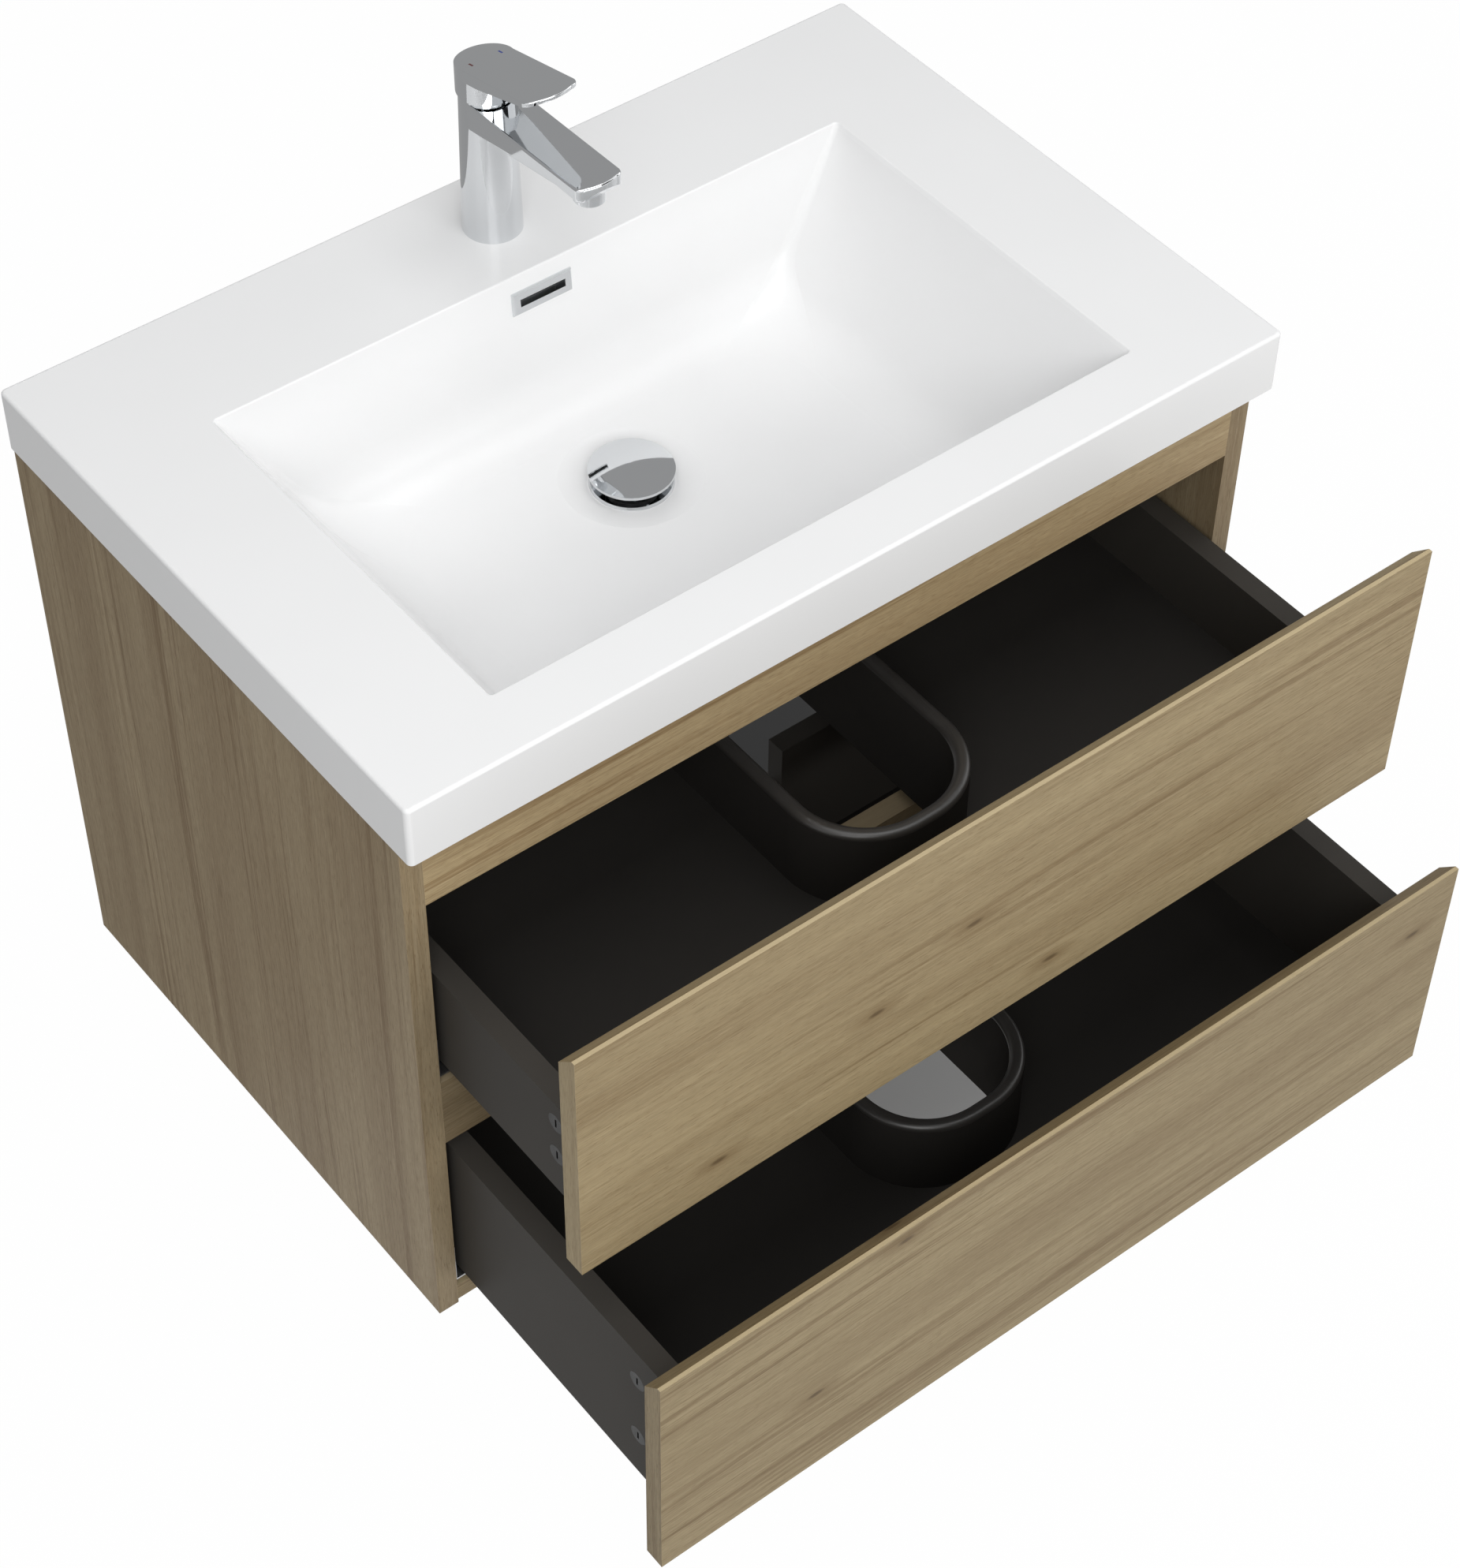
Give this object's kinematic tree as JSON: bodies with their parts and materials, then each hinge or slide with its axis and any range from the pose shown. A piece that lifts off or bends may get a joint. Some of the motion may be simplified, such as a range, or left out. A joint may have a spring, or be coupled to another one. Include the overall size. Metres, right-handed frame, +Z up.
{
  "type": "washbasin vanity unit",
  "caption": "Wall-hung oak-decor bathroom vanity with two drawers cut out round the trap, under a white moulded basin top with a chrome single-lever faucet.",
  "frame": {"origin": "on the wall, at the centre of the four wall screws", "axes": "+X to the right seen from the front, +Y into the wall, +Z up"},
  "size_m": [0.7, 0.696, 0.6909],
  "materials": {
    "basin_white": "gloss white cast mineral",
    "chrome": "polished",
    "oak_board": "matt oak decor board",
    "anthracite_board": "matt anthracite board",
    "anthracite_plastic": "matt",
    "zinc_steel": "zinc plated",
    "zinc_cast": "dark cast zinc",
    "beech": "raw beech",
    "black_rubber": "matt",
    "brass": "turned",
    "cartridge_plastic": "matt"
  },
  "bodies": {
    "cabinet": {"aerator": "chrome", "basin_top": "basin_white", "bottom_rail": "oak_board", "carcass_screws": "zinc_steel", "cartridge_housing": "cartridge_plastic", "cartridge_nut": "brass", "dome_cover": "chrome", "faucet_body": "chrome", "faucet_clamp": "zinc_steel", "faucet_nut": "zinc_steel", "faucet_seal": "black_rubber", "faucet_stud": "zinc_steel", "hangers": "zinc_steel", "lower_rear_rail": "oak_board", "lower_runner_rail_left": "zinc_steel", "lower_runner_rail_right": "zinc_steel", "middle_rail": "oak_board", "overflow_cover": "basin_white", "overflow_ring": "chrome", "rail_dowels": "beech", "side_panel_left": "oak_board", "side_panel_right": "oak_board", "top_rail": "oak_board", "upper_rear_rail": "oak_board", "upper_runner_rail_left": "zinc_steel", "upper_runner_rail_right": "zinc_steel", "wall_plates": "zinc_steel", "waste_body": "chrome", "waste_gasket": "black_rubber", "waste_nut": "brass"},
    "upper_drawer": {"upper_back_left": "anthracite_board", "upper_back_right": "anthracite_board", "upper_bottom": "anthracite_board", "upper_cam_fittings": "zinc_cast", "upper_front": "oak_board", "upper_runner_carrier_left": "zinc_steel", "upper_runner_carrier_right": "zinc_steel", "upper_side_left": "anthracite_board", "upper_side_right": "anthracite_board", "upper_siphon_wall": "anthracite_plastic"},
    "lower_drawer": {"lower_back_left": "anthracite_board", "lower_back_right": "anthracite_board", "lower_bottom": "anthracite_board", "lower_cam_fittings": "zinc_cast", "lower_front": "oak_board", "lower_runner_carrier_left": "zinc_steel", "lower_runner_carrier_right": "zinc_steel", "lower_side_left": "anthracite_board", "lower_side_right": "anthracite_board", "lower_siphon_wall": "anthracite_plastic"},
    "upper_runner_members": {"upper_runner_slide_left": "zinc_steel", "upper_runner_slide_right": "zinc_steel"},
    "lower_runner_members": {"lower_runner_slide_left": "zinc_steel", "lower_runner_slide_right": "zinc_steel"},
    "faucet_cartridge": {"cartridge_turret": "cartridge_plastic"},
    "faucet_lever": {"spindle": "zinc_steel", "lever": "chrome", "lever_screw": "zinc_steel"},
    "waste_plug": {"waste_cap": "chrome", "waste_cap_seal": "black_rubber"}
  },
  "joints": [
    {"name": "upper_drawer_slide", "type": "slide", "parent": "cabinet", "child": "upper_drawer", "axis": [0, -1, 0], "range_m": [-0.157, 0.233]},
    {"name": "lower_drawer_slide", "type": "slide", "parent": "cabinet", "child": "lower_drawer", "axis": [0, -1, 0], "range_m": [-0.236, 0.154]},
    {"name": "upper_runner_slide", "type": "slide", "parent": "cabinet", "child": "upper_runner_members", "axis": [0, -1, 0], "range_m": [-0.0785, 0.1165]},
    {"name": "lower_runner_slide", "type": "slide", "parent": "cabinet", "child": "lower_runner_members", "axis": [0, -1, 0], "range_m": [-0.118, 0.077]},
    {"name": "lever_turn", "type": "hinge", "parent": "cabinet", "child": "faucet_cartridge", "pos_m": [0, -0.055, 0.224], "axis": [0, 0, 1], "range_deg": [-45, 45]},
    {"name": "lever_lift", "type": "hinge", "parent": "faucet_cartridge", "child": "faucet_lever", "pos_m": [0, -0.055, 0.224], "axis": [-1, 0, 0], "range_deg": [0, 25]},
    {"name": "waste_push", "type": "slide", "parent": "cabinet", "child": "waste_plug", "axis": [0, 0, -1], "range_m": [0, 0.007], "stiffness_N_per_m": 500, "springref_m": -0.006}
  ],
  "couplings": [
    {"joint": "upper_runner_slide", "follows": "upper_drawer_slide", "ratio": 0.5},
    {"joint": "lower_runner_slide", "follows": "lower_drawer_slide", "ratio": 0.5}
  ]
}
